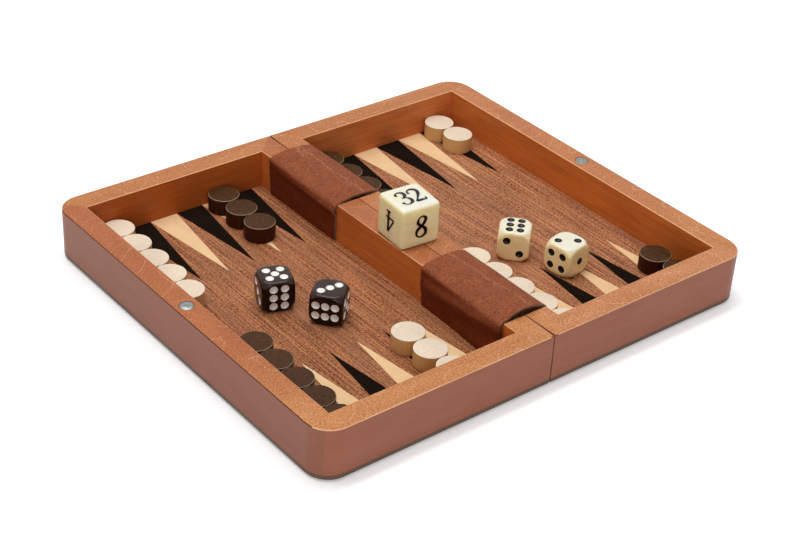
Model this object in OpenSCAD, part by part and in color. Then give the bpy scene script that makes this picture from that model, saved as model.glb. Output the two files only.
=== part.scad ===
// Folding chess and backgammon box, lying open with both trays upwards.
// Origin at the bottom centre: x across the two halves, y along the fold, z up. Millimetres.

/* [Trays] */
// Inner width of each tray, across the fold
tray_w = 100.7; // [92:0.1:130]
// Inner length of each tray, along the fold
tray_l = 194.4; // [176:0.1:240]
// Depth of each tray, from the rim to the floor
tray_depth = 20; // [17:0.5:32]
// Thickness of the tray floor panel
floor_t = 3.1; // [2:0.1:8]

/* [Rails and base] */
// Width of the back, front and outer rails
rail_t = 11.8; // [9:0.1:16]
// Width of the rail beside the fold
hinge_rail_t = 12.15; // [9:0.05:16]
// Gap between the two halves at the fold
seam_gap = 0.7; // [0.2:0.1:1]
// Radius of the four outer corners, seen from above
corner_r = 12; // [4:0.5:20]
// Thickness of the base panel
base_t = 3.4; // [2.3:0.1:6]
// Radius of the base panel's lower edge
base_round = 2.2; // [0.5:0.1:2.2]

/* [Points] */
// Length of a point, from its base to its tip
point_l = 58.6; // [40:0.1:75]
// Bare floor left at each side of the six points
point_margin = 5.35; // [2:0.05:10]
// Thickness of the inlaid points
point_t = 0.8; // [0.5:0.1:1.5]
// Sideways offset of the inlay, towards the left in both trays
point_shift = 0.75; // [0:0.05:1.5]
// How far the front points run on under the front rail
point_run_under = 2.4; // [0:0.1:5]

/* [Chessboard] */
// Plain border at the ends of the chessboard
chess_border = 13; // [8:0.5:24]
// Thickness of the inlaid squares
chess_t = 0.6; // [0.4:0.1:1.2]
// Glue line around each inlaid square
chess_line = 0.05; // [0.02:0.01:0.1]

/* [Leather straps] */
// Width of each strap, along the fold
strap_w = 56; // [35:0.5:64]
// Thickness of the leather
strap_t = 1; // [0.8:0.1:1.6]
// Space between a strap and the end wall of the tray
strap_inset = 8.2; // [2:0.1:16]
// Height of the slack strap over the rim
strap_rise = 2.4; // [2:0.1:6]
// Radius of the strap where it turns down into a tray
strap_bend = 2.5; // [2:0.1:3.5]
// Depth below the rim at which that turn is centred
strap_dip = 2; // [1.6:0.1:2.4]
// Clearance between the leather and the wood
strap_clear = 0.15; // [0.1:0.05:0.4]

/* [Magnets] */
// Diameter of the closing magnets
magnet_d = 6.5; // [5:0.5:8.5]
// Thickness of the closing magnets
magnet_t = 3; // [2:0.5:5]
// Clearance around a magnet in its pocket
magnet_fit = 0.1; // [0.05:0.05:0.3]

/* [Checkers] */
// Diameter of a checker
checker_d = 15.6; // [12:0.1:16.5]
// Thickness of a checker
checker_t = 8.6; // [5:0.1:9.5]
// Radius of a checker's edges
checker_round = 0.7; // [0.2:0.1:1.5]
// Gap between checkers in a row
checker_gap = 0.2; // [0.1:0.1:0.6]

/* [Dice and doubling cube] */
// Edge length of a die
die_w = 16; // [12:0.5:18]
// Radius of a die's edges
die_round = 1.4; // [0.5:0.1:2.5]
// How much the rounding takes off a die's corners
corner_cut = 2.45; // [1.5:0.05:3]
// Diameter of a pip on the brown dice
brown_pip_d = 3.9; // [2.5:0.1:4]
// Diameter of a pip on the ivory dice
ivory_pip_d = 3.8; // [2.5:0.1:4]
// Depth of a pip
pip_depth = 0.9; // [0.3:0.1:1]
// Edge length of the doubling cube
cube_w = 21.3; // [16:0.1:26]
// Radius of the doubling cube's edges
cube_round = 1.5; // [0.5:0.1:3]

/* [Hidden] */
$fn = 72;
half_names = ["left", "right"];
POINTS = 6;
CHECKERS = 15;
CHESS_ROWS = 8;

// Places across a half, measured from the fold
seam_x = seam_gap / 2;
hinge_wall_x = seam_x + hinge_rail_t;
outer_wall_x = hinge_wall_x + tray_w;
half_w = outer_wall_x + rail_t;
tray_mid_x = hinge_wall_x + tray_w / 2;

// Places along the fold and in height
wall_y = tray_l / 2;
end_y = wall_y + rail_t;
floor_top = base_t + floor_t;
rim = floor_top + tray_depth;

// Points
point_pitch = (tray_w - 2 * point_margin) / POINTS;
point_side_gap = 0.05;

// How far a cutting tool runs past the surface it cuts
cut = 1;

// Chessboard: square field just inside the base's rounded edges
chess_edge = base_round + 0.2;
chess_x = seam_x + chess_edge;
chess_square = min((2 * end_y - 2 * chess_border) / CHESS_ROWS,
                   (half_w - chess_x - chess_edge) / (CHESS_ROWS / 2));

// Strap: a flat arch over the fold, a tight turn at each side and a straight drop to the floor
strap_y = wall_y - strap_inset - strap_w / 2;
strap_face_x = hinge_wall_x + strap_clear + strap_t;
bend_x = strap_face_x - strap_bend;
bend_z = rim - strap_dip;
arch_over_bend = strap_rise + strap_dip;
arch_r = (pow(arch_over_bend, 2) + pow(bend_x, 2) - pow(strap_bend, 2))
         / (2 * (arch_over_bend - strap_bend));
arch_z = rim + strap_rise - arch_r;
arch_angle = asin(bend_x / (arch_r - strap_bend));
rebate_end = 0.3;

// Rows of checkers: tray (-1 left, 1 right), point counted from the left, end (1 back, -1 front), how
// many, gap to the end wall, sideways offset of the first one and of each one after it
light_rows = [[-1, 1, 1, 5, 0.4, -0.1, -0.25], [-1, 5, -1, 3, 0.3, 1.2, 0],
              [1, 6, 1, 2, 0.3, -1, 0], [1, 1, -1, 5, 0.3, 1.2, 0]];
dark_rows = [[-1, 5, 1, 3, 0.9, -0.25, 0], [-1, 1, -1, 5, 0.3, -0.2, 0.3],
             [1, 1, 1, 5, 0.3, -0.3, 0], [1, 6, -1, 2, 0.3, 1.1, 0]];

// Dice: tray, place from the middle of the tray, turn, the values on top, front and right, and for top,
// front, right, bottom, back and left whether the pattern is turned a quarter
brown_dice = [[-1, [-6.05, 4.5], -19.7, [5, 6, 4], [0, 0, 0, 0, 0, 1]],
              [-1, [7.95, -18.9], -51.1, [3, 6, 5], [0, 1, 0, 0, 0, 0]]];
ivory_dice = [[1, [-10.45, -24.7], -46.3, [6, 2, 3], [0, 1, 0, 0, 0, 0]],
              [1, [1.15, -49.4], -80.5, [2, 4, 1], [0, 0, 0, 0, 0, 0]]];
cube_place = [-1.85, -8.1];
cube_turn = -4.5;

// Pips sit on a grid: corner spacing, and the long and short spacing of the six
pip_corner = 0.21 * die_w;
pip_long = 0.282 * die_w;
pip_short = 0.166 * die_w;

rail_wood = "#9c6753";
floor_wood = "#7a4028";
base_wood = "#5c4d48";
cream = "#e3c38f";
black = "#1c1a15";
leather = "#8d5038";
steel = "#9aa4a8";
boxwood = "#e5d9c3";
dark_wood = "#473a2c";
brown_resin = "#2b1c1a";
ivory_resin = "#e8e0bb";

function two_digits(i) = str(i < 10 ? "0" : "", i);
function point_x(tray, n) = tray * tray_mid_x - point_shift + (n - (POINTS + 1) / 2) * point_pitch;
function row_y(end, gap, k) = end * (wall_y - gap - checker_d / 2 - k * (checker_d + checker_gap));
function row_places(rows) =
    [for (row = rows) for (k = [0 : row[3] - 1])
        [point_x(row[0], row[1]) + row[5] + k * row[6], row_y(row[2], row[4], k)]];

// Points of an arc in the x-z plane, angles measured from straight up towards +x
function arc(x, z, r, from, to, steps) =
    [for (i = [0 : steps]) let (a = from + (to - from) * i / steps) [x + r * sin(a), z + r * cos(a)]];
// One side of the strap, as deep as inset under its outer face, from the left foot to the right foot
function strap_line(inset) = concat(
    [[-strap_face_x + inset, floor_top]],
    arc(-bend_x, bend_z, strap_bend - inset, -90, -arch_angle, 6),
    arc(0, arch_z, arch_r - inset, -arch_angle, arch_angle, 16),
    arc(bend_x, bend_z, strap_bend - inset, arch_angle, 90, 6),
    [[strap_face_x - inset, floor_top]]);
function reversed(list) = [for (i = [len(list) - 1 : -1 : 0]) list[i]];

// Pip places on a face for a value from 1 to 6
function pips(value, turned) = concat(
    value % 2 == 1 ? [[0, 0]] : [],
    value == 2 || value == 3 ? [for (s = [-1, 1]) [s, turned ? -s : s] * pip_corner] : [],
    value == 4 || value == 5 ? [for (u = [-1, 1]) for (v = [-1, 1]) [u, v] * pip_corner] : [],
    value == 6 ? [for (u = [-1, 1]) for (v = [-1 : 1])
        turned ? [v * pip_long, u * pip_short] : [u * pip_short, v * pip_long]] : []);
// Turns that bring the top to each face: top, front, right, bottom, back, left
face_turns = [[0, 0, 0], [90, 0, 0], [90, 0, 90], [180, 0, 0], [90, 0, 180], [90, 0, -90]];

rail_names = ["back_rail", "front_rail", "outer_rail", "hinge_rail"];
half_parts = concat(rail_names, ["floor", "light_points", "dark_points", "base", "light_squares",
    "dark_squares", "magnet"]);

// Puts a right-hand piece in its own half
module in_half(tray) {
    if (tray < 0) mirror([1, 0, 0]) children();
    else children();
}

// Outline of the right half from above: square at the fold, rounded at the outer corners
module half_outline() {
    translate([seam_x, -end_y]) square([half_w - corner_r - seam_x, 2 * end_y]);
    translate([seam_x, -end_y + corner_r]) square([half_w - seam_x, 2 * (end_y - corner_r)]);
    for (s = [-1, 1]) translate([half_w - corner_r, s * (end_y - corner_r)]) circle(corner_r);
}

module end_rail(tray, end) {
    color(rail_wood) in_half(tray) translate([0, 0, base_t]) linear_extrude(rim - base_t)
        intersection() {
            half_outline();
            polygon([[seam_x, end * end_y], [hinge_wall_x, end * wall_y],
                     [outer_wall_x, end * wall_y], [half_w, end * end_y]]);
        }
}

module outer_rail(tray) {
    color(rail_wood) in_half(tray) difference() {
        translate([0, 0, base_t]) linear_extrude(rim - base_t) intersection() {
            half_outline();
            polygon([[half_w, end_y], [outer_wall_x, wall_y], [outer_wall_x, -wall_y], [half_w, -end_y]]);
        }
        translate([half_w - rail_t / 2, 0, rim - magnet_t])
            cylinder(h = magnet_t + cut, d = magnet_d + magnet_fit);
    }
}

module hinge_rail(tray) {
    color(rail_wood) in_half(tray) difference() {
        translate([0, 0, base_t]) linear_extrude(rim - base_t)
            polygon([[seam_x, end_y], [hinge_wall_x, wall_y], [hinge_wall_x, -wall_y], [seam_x, -end_y]]);
        for (s = [-1, 1])
            translate([seam_x - cut, s * strap_y - strap_w / 2 - rebate_end, rim - strap_dip])
                cube([hinge_rail_t + 2 * cut, strap_w + 2 * rebate_end, strap_dip + cut]);
    }
}

module rail(tray, name) {
    if (name == "back_rail") end_rail(tray, 1);
    if (name == "front_rail") end_rail(tray, -1);
    if (name == "outer_rail") outer_rail(tray);
    if (name == "hinge_rail") hinge_rail(tray);
}

// Outline of every second point of a tray; parity 0 gives the light ones, 1 the dark ones
module points_outline(tray, parity) {
    intersection() {
        translate([tray * tray_mid_x - tray_w / 2, -wall_y]) square([tray_w, tray_l]);
        for (end = [-1, 1]) for (n = [1 : POINTS]) if ((n + (end > 0 ? 1 : 0)) % 2 == parity) {
            base_y = end > 0 ? wall_y : -wall_y - point_run_under;
            half_base = point_pitch / 2 - point_side_gap;
            polygon([[point_x(tray, n) - half_base, base_y], [point_x(tray, n) + half_base, base_y],
                     [point_x(tray, n), base_y - end * point_l]]);
        }
    }
}

module points(tray, parity) {
    color(parity == 0 ? cream : black) translate([0, 0, floor_top - point_t])
        linear_extrude(point_t) points_outline(tray, parity);
}

module floor_panel(tray) {
    color(floor_wood) difference() {
        translate([tray * tray_mid_x - tray_w / 2, -wall_y, base_t]) cube([tray_w, tray_l, floor_t]);
        for (parity = [0, 1]) translate([0, 0, floor_top - point_t])
            linear_extrude(point_t + cut) points_outline(tray, parity);
    }
}

// Section that rounds an edge: the edge runs through the origin, the wood lies at positive u and v
module edge_cut(r) {
    difference() {
        translate([-cut, -cut]) square(r + cut);
        translate([r, r]) circle(r);
    }
}

module base(tray) {
    color(base_wood) in_half(tray) difference() {
        linear_extrude(base_t) half_outline();
        translate([seam_x, end_y + cut, 0]) rotate([90, 0, 0])
            linear_extrude(2 * (end_y + cut)) edge_cut(base_round);
        translate([half_w, end_y - corner_r, 0]) rotate([90, 0, 0])
            linear_extrude(2 * (end_y - corner_r)) mirror([1, 0]) edge_cut(base_round);
        for (s = [0, 1]) mirror([0, s, 0]) {
            translate([seam_x - cut, -end_y, 0]) rotate([90, 0, 90])
                linear_extrude(half_w - corner_r - seam_x + cut) edge_cut(base_round);
            translate([half_w - corner_r, end_y - corner_r, 0]) rotate_extrude(angle = 90)
                translate([corner_r, 0]) mirror([1, 0]) edge_cut(base_round);
        }
        translate([chess_x, -chess_square * CHESS_ROWS / 2, -cut])
            cube([chess_square * CHESS_ROWS / 2, chess_square * CHESS_ROWS, chess_t + cut]);
    }
}

// Squares of one colour in one half; the colours alternate across the fold as on one board
module squares(tray, parity) {
    side = chess_square - 2 * chess_line;
    color(parity == 0 ? cream : dark_wood) for (i = [0 : CHESS_ROWS / 2 - 1]) for (j = [0 : CHESS_ROWS - 1])
        if ((i + j + (tray < 0 ? 1 : 0)) % 2 == parity)
            in_half(tray) translate([chess_x + i * chess_square + chess_line,
                (j - CHESS_ROWS / 2) * chess_square + chess_line, 0]) cube([side, side, chess_t]);
}

module strap(end) {
    color(leather) translate([0, end * strap_y + strap_w / 2, 0]) rotate([90, 0, 0])
        linear_extrude(strap_w) polygon(concat(strap_line(0), reversed(strap_line(strap_t))));
}

module magnet(tray) {
    color(steel) in_half(tray) translate([half_w - rail_t / 2, 0, rim - magnet_t])
        cylinder(h = magnet_t, d = magnet_d);
}

module checker(place, tint) {
    r = checker_d / 2;
    color(tint) translate([place[0], place[1], floor_top]) rotate_extrude() {
        square([r - checker_round, checker_t]);
        translate([0, checker_round]) square([r, checker_t - 2 * checker_round]);
        for (z = [checker_round, checker_t - checker_round])
            translate([r - checker_round, z]) circle(checker_round);
    }
}

// Square section with rounded corners
module rounded_square(w, r) {
    square([w, w - 2 * r], center = true);
    square([w - 2 * r, w], center = true);
    for (x = [-1, 1]) for (y = [-1, 1]) translate([x, y] * (w / 2 - r)) circle(r);
}

// Cube with rounded edges, centred
module rounded_cube(w, r) {
    intersection() {
        translate([0, 0, -w / 2]) linear_extrude(w) rounded_square(w, r);
        rotate([90, 0, 0]) translate([0, 0, -w / 2]) linear_extrude(w) rounded_square(w, r);
        rotate([0, 90, 0]) translate([0, 0, -w / 2]) linear_extrude(w) rounded_square(w, r);
    }
}

// A die; the three values that are not given are seven less the value on the opposite face
module die(row, tint, pip_d) {
    ball = (pow(pip_d / 2, 2) + pow(pip_depth, 2)) / (2 * pip_depth);
    color(tint) translate([row[0] * tray_mid_x + row[1][0], row[1][1], floor_top + die_w / 2])
        rotate([0, 0, row[2]]) difference() {
            intersection() {
                rounded_cube(die_w, die_round);
                sphere(r = sqrt(3) / 2 * die_w - corner_cut);
            }
            for (f = [0 : 5]) rotate(face_turns[f])
                for (p = pips(f < 3 ? row[3][f] : 7 - row[3][f - 3], row[4][f] == 1))
                    translate([p[0], p[1], die_w / 2 + ball - pip_depth]) sphere(r = ball);
        }
}

module doubling_cube() {
    color(ivory_resin) translate([cube_place[0], cube_place[1], rim + cube_w / 2])
        rotate([0, 0, cube_turn]) rounded_cube(cube_w, cube_round);
}

for (half = [0, 1]) {
    tray = half == 0 ? -1 : 1;
    name = half_names[half];
    for (part = rail_names) rail(tray, part);
    floor_panel(tray);
    points(tray, 0);
    points(tray, 1);
    base(tray);
    squares(tray, 0);
    squares(tray, 1);
    magnet(tray);
}
strap(1);  // back_strap
strap(-1);  // front_strap
for (i = [1 : CHECKERS]) {
    checker(row_places(light_rows)[i - 1], boxwood);
    checker(row_places(dark_rows)[i - 1], dark_wood);
}
for (i = [1, 2]) {
    die(brown_dice[i - 1], brown_resin, brown_pip_d);
    die(ivory_dice[i - 1], ivory_resin, ivory_pip_d);
}
doubling_cube();
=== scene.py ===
"""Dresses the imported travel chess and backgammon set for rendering.

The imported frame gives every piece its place. Each sub-assembly is a class that builds its meshes around
that frame, and each finish is a small frozen class that makes one procedural material.
"""
from __future__ import annotations

import logging
import math
import random
from dataclasses import dataclass, field
from enum import Enum

import bmesh
import bpy
from mathutils import Matrix, Vector

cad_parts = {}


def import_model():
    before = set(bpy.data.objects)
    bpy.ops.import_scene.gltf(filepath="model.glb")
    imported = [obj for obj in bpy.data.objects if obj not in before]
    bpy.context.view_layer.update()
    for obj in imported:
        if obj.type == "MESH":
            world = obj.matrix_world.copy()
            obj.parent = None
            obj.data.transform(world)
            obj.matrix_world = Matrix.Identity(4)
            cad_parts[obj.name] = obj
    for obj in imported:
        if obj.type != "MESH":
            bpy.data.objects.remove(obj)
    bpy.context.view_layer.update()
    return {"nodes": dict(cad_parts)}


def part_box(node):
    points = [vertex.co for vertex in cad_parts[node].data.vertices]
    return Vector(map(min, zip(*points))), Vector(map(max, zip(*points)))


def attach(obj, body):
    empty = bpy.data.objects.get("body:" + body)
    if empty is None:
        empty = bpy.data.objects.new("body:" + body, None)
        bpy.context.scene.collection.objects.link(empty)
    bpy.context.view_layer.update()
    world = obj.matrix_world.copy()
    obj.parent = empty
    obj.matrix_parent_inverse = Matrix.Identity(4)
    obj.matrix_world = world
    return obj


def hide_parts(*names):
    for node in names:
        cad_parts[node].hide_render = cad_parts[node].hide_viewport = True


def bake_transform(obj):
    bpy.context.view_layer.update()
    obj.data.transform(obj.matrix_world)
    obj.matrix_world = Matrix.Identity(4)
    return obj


Socket = bpy.types.NodeSocket
Tree = bpy.types.NodeTree
Piece = bpy.types.Object
Shape = bmesh.types.BMesh
Span = tuple[float, float]
Triple = tuple[float, float, float]
Outline = list[tuple[float, float]]
Stroke = list[Triple]

LOG = logging.getLogger("travel_set")
MM = 0.001
SMOOTH_DEG = 35.0
MITRE_DEG = 45.0
# The part of a noise's range in which most of its values lie
USUAL: Span = (0.3, 0.7)


def linear(code: str) -> tuple[float, float, float, float]:
    """Turns an sRGB hex colour into a linear RGBA colour.

    Args:
        code: Colour such as "#c98a5c".

    Returns:
        Red, green, blue and alpha, as Blender's sockets take them.
    """
    parts = [int(code[i:i + 2], 16) / 255 for i in (1, 3, 5)]
    light = [c / 12.92 if c <= 0.04045 else ((c + 0.055) / 1.055) ** 2.4 for c in parts]
    return (*light, 1.0)


def add_node(tree: Tree, kind: str, inputs: dict | None = None, **settings) -> bpy.types.Node:
    """Adds one shader node, sets its properties and then fills or links its inputs.

    Args:
        tree: Node tree that gets the node.
        kind: Blender's node type name.
        inputs: Value or output socket for each input, by name or number.
        **settings: Properties of the node, such as operation or data_type.

    Returns:
        The new node.
    """
    node = tree.nodes.new(kind)
    for name, value in settings.items():
        setattr(node, name, value)
    for key, value in (inputs or {}).items():
        if isinstance(value, Socket):
            tree.links.new(value, node.inputs[key])
        else:
            node.inputs[key].default_value = value
    return node


def empty_tree(owner: bpy.types.Material | bpy.types.World) -> Tree:
    """Turns nodes on for a material or a world, and clears its tree."""
    owner.use_nodes = True
    owner.node_tree.nodes.clear()
    return owner.node_tree


class Axis(Enum):
    """Direction in which a grain runs."""

    ALONG_X = 0
    ALONG_Y = 1
    ALONG_Z = 2


class Tray(Enum):
    """The two halves of the box, with the side of the fold that each lies on."""

    LEFT = -1
    RIGHT = 1

    @property
    def label(self) -> str:
        """Word that the half's node names start with."""
        return self.name.lower()

    @property
    def body(self) -> str:
        """Name of the body that the half moves with."""
        return f"{self.label}_tray"


@dataclass(frozen=True)
class Pattern:
    """A noise pattern, given by the real size of its marks in mm.

    The marks are round where along is 0. They follow the finish's own grain where grain is None.
    """

    across: float
    along: float = 0.0
    detail: float = 3.0
    roughness: float = 0.5
    distortion: float = 0.0
    grain: Axis | None = None


@dataclass
class Shader:
    """Adds the nodes of one material; coords is its texture coordinate node."""

    tree: Tree
    coords: bpy.types.Node
    grain: Axis

    def part(self, source: str, axis: str) -> Socket:
        """One axis of the place in metres, "Object", or of the surface's direction, "Normal"."""
        return add_node(self.tree, "ShaderNodeSeparateXYZ", {0: self.coords.outputs[source]}).outputs[axis]

    def marks(self, across_mm: float, along_mm: float = 0.0, grain: Axis | None = None) -> Socket:
        """Scales the object's coordinates so that one unit is one mark.

        Args:
            across_mm: Width of a mark across the grain.
            along_mm: Length of a mark along the grain, or 0 for a round mark.
            grain: Direction of the grain, where it is not the finish's own.

        Returns:
            The scaled coordinates.
        """
        scale = [1 / (across_mm * MM)] * 3
        scale[(grain or self.grain).value] = 1 / ((along_mm or across_mm) * MM)
        return add_node(self.tree, "ShaderNodeVectorMath", {0: self.coords.outputs["Object"], 1: scale},
                        operation="MULTIPLY").outputs[0]

    def noise(self, look: Pattern) -> Socket:
        """Adds a noise pattern, whose values lie between 0 and 1."""
        return add_node(self.tree, "ShaderNodeTexNoise", {
            "Vector": self.marks(look.across, look.along, look.grain), "Scale": 1.0, "Detail": look.detail,
            "Roughness": look.roughness, "Distortion": look.distortion}).outputs[0]

    def ramp(self, value: Socket, span: Span, start: float = 0.0, stop: float = 1.0) -> Socket:
        """Spreads the part of a value inside a span over start to stop; past its ends the result stays."""
        return add_node(self.tree, "ShaderNodeMapRange",
                        {0: value, 1: span[0], 2: span[1], 3: start, 4: stop}).outputs[0]

    def calc(self, operation: str, first: Socket, second: Socket | float = 0.0) -> Socket:
        """Adds one step of arithmetic, by Blender's name of it."""
        return add_node(self.tree, "ShaderNodeMath", {0: first, 1: second}, operation=operation).outputs[0]

    def mix(self, factor: Socket, first: Socket | str, second: Socket | str) -> Socket:
        """Mixes two colours.

        Args:
            factor: 0 for the first colour, 1 for the second.
            first: Hex colour or colour socket.
            second: Hex colour or colour socket.

        Returns:
            The mixed colour.
        """
        ends = [linear(end) if isinstance(end, str) else end for end in (first, second)]
        return add_node(self.tree, "ShaderNodeMix", {0: factor, 6: ends[0], 7: ends[1]},
                        data_type="RGBA").outputs[2]

    def tone(self, first: Socket, first_span: Span, second: Socket, second_span: Span = USUAL,
             share: float = 0.5) -> Socket:
        """Adds two patterns up to one tone.

        Args:
            first: First pattern.
            first_span: Its values that become 0 and its share.
            second: Second pattern.
            second_span: Its values that become 0 and the rest.
            share: Share of the first pattern in the tone.

        Returns:
            A value between 0 and 1.
        """
        return self.calc("ADD", self.ramp(first, first_span, 0.0, share),
                         self.ramp(second, second_span, 0.0, 1 - share))

    def from_middle(self, operation: str, axis: str, limit_mm: float) -> Socket:
        """Compares the distance from the middle of the open box, along an axis, with a limit."""
        return self.calc(operation, self.calc("ABSOLUTE", self.part("Object", axis)), limit_mm * MM)


@dataclass(frozen=True)
class Finish:
    """A procedural material; a subclass fills in the surface."""

    name: str
    grain: Axis = Axis.ALONG_X
    relief_mm: float = 0.002
    roughness: float = 0.45
    gloss: float = 0.5
    metallic: float = 0.0

    def material(self) -> bpy.types.Material:
        """Makes the material on first use and gives the same one afterwards."""
        found = bpy.data.materials.get(self.name)
        if found:
            return found
        made = bpy.data.materials.new(self.name)
        tree = empty_tree(made)
        shader = self.surface(Shader(tree, add_node(tree, "ShaderNodeTexCoord"), self.grain))
        add_node(tree, "ShaderNodeOutputMaterial", {"Surface": shader})
        return made

    def surface(self, nodes: Shader) -> Socket:
        """Builds the shader.

        Args:
            nodes: The material's nodes.

        Returns:
            The shader's output socket.
        """
        raise NotImplementedError

    def coated(self, nodes: Shader, colour: Socket, relief: Socket, **more) -> Socket:
        """Joins a colour and a relief into one shader.

        Args:
            nodes: The material's nodes.
            colour: Base colour.
            relief: Height between 0 and 1.
            **more: Further inputs of the shader, with underscores for spaces.

        Returns:
            The shader's output socket.
        """
        bump = add_node(nodes.tree, "ShaderNodeBump",
                        {"Height": relief, "Strength": 1.0, "Distance": self.relief_mm * MM})
        values = {"Base Color": colour, "Roughness": self.roughness, "Specular IOR Level": self.gloss,
                  "Metallic": self.metallic, "Normal": bump.outputs[0]}
        values.update({key.replace("_", " "): value for key, value in more.items()})
        return add_node(nodes.tree, "ShaderNodeBsdfPrincipled", values).outputs[0]


@dataclass(frozen=True)
class LacqueredHardwood(Finish):
    """Stained tropical hardwood under satin lacquer: sawn rails whose top has lost some of its stain.

    The top face is sanded pale and shows a fine speckle of cut pores and faint sanding arcs. The walls inside
    the trays are a stained orange, made more saturated as painted shade and bounce light. The outer faces are
    a redder mauve that hides most of the grain, a painted reflection of the pale floor. The edges carry a
    pale painted highlight, apart from the edges at the fold and the outer rails' outer edges, which are
    painted dark as shade. Towards its back end a board may turn to redder heartwood.
    """

    top: str = "#d39360"
    top_dark: str = "#965429"
    heart: str = "#c78452"
    heart_dark: str = "#91522b"
    arc: str = "#e8bd94"
    inner: str = "#d27634"
    inner_dark: str = "#ac5624"
    outer: str = "#a66952"
    outer_dark: str = "#9c5d48"
    arris: str = "#e8b78c"
    shaded_arris: str = "#3d180d"
    fold_shade: str = "#6f3a20"
    pores: Pattern = Pattern(0.5, 1.2, detail=2.0, roughness=0.6)
    clouds: Pattern = Pattern(7.0, 35.0, roughness=0.6)
    lines: Pattern = Pattern(1.2, 30.0, roughness=0.6)
    swells: Pattern = Pattern(26.0, detail=0.0)
    arc_count: float = 13.0
    arc_width: float = 0.12
    arc_pores: Span = (0.4, 0.6)
    arc_strength: float = 0.5
    speckle: Span = (0.36, 0.62)
    speckle_share: float = 0.7
    edge_shading_up: Span = (0.2, 0.5)
    edge_shading_clouds: Span = (0.35, 0.65)
    edge_shading_least: float = 0.7
    top_up: Span = (0.9, 0.985)
    turning_from: Span = (0.1, 0.3)
    turning_to: Span = (0.99, 0.95)
    shaded_edge_x_mm: float = 124.2
    outer_x_mm: float = 119.1
    outer_y_mm: float = 103.1
    fold_x_mm: float = 2.0
    sap_y_mm: float = -95.0
    heart_y_mm: float = -40.0
    coat: float = 0.04
    coat_roughness: float = 0.3
    grain: Axis = Axis.ALONG_Y
    relief_mm: float = 0.015
    roughness: float = 0.4
    gloss: float = 0.14

    def surface(self, nodes: Shader) -> Socket:
        """Builds the colours, with painted light and shade, and picks between them by the face's direction
        and place.
        """
        pores, clouds, lines = (nodes.noise(look) for look in (self.pores, self.clouds, self.lines))
        waves = nodes.calc("PINGPONG", nodes.calc("MULTIPLY", nodes.noise(self.swells), self.arc_count), 1.0)
        arcs = nodes.calc("MULTIPLY", nodes.ramp(waves, (self.arc_width, 0.0)),
                          nodes.ramp(pores, self.arc_pores, 0.0, self.arc_strength))
        speckle = nodes.tone(pores, self.speckle, clouds, share=self.speckle_share)
        streaks = nodes.tone(lines, USUAL, clouds)
        hearted = nodes.ramp(nodes.part("Object", "Y"), (self.sap_y_mm * MM, self.heart_y_mm * MM))
        boards = nodes.mix(hearted, nodes.mix(speckle, self.top_dark, self.top),
                           nodes.mix(speckle, self.heart_dark, self.heart))
        top = nodes.mix(arcs, boards, self.arc)
        # Inner walls more saturated as painted shade and bounce light; outer faces mauve as painted floor
        # reflection
        inner = nodes.mix(streaks, self.inner_dark, self.inner)
        outer = nodes.mix(streaks, self.outer_dark, self.outer)
        past_x = nodes.from_middle("GREATER_THAN", "X", self.outer_x_mm)
        past_y = nodes.from_middle("GREATER_THAN", "Y", self.outer_y_mm)
        at_fold = nodes.from_middle("LESS_THAN", "X", self.fold_x_mm)
        # The outer rails' outer edges get a dark painted shade
        at_edge = nodes.from_middle("GREATER_THAN", "X", self.shaded_edge_x_mm)
        outside = nodes.calc("MAXIMUM", nodes.calc("MAXIMUM", past_x, past_y), at_fold)
        across = nodes.calc("ABSOLUTE", nodes.part("Normal", "X"))
        turning = nodes.calc("MULTIPLY", nodes.ramp(across, self.turning_from),
                             nodes.ramp(across, self.turning_to))
        # The vertical corners and top edges at the fold are painted dark, as the shade in the seam between
        # the halves
        sides = nodes.mix(nodes.calc("MULTIPLY", at_fold, turning), nodes.mix(outside, inner, outer),
                          self.fold_shade)
        # Edge colour: a pale painted highlight, with painted shade at the fold and on the outer rails' outer
        # edges
        arris = nodes.mix(at_fold, nodes.mix(at_edge, self.arris, self.shaded_arris), self.fold_shade)
        up = nodes.part("Normal", "Z")
        # Patchy band on the rounded top edges that takes the painted edge colour
        edge_shading = nodes.calc("MULTIPLY", nodes.ramp(up, self.edge_shading_up),
                            nodes.ramp(clouds, self.edge_shading_clouds, self.edge_shading_least, 1.0))
        colour = nodes.mix(nodes.ramp(up, self.top_up), nodes.mix(edge_shading, sides, arris), top)
        return self.coated(nodes, colour, pores, Coat_Weight=self.coat, Coat_Roughness=self.coat_roughness)


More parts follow.
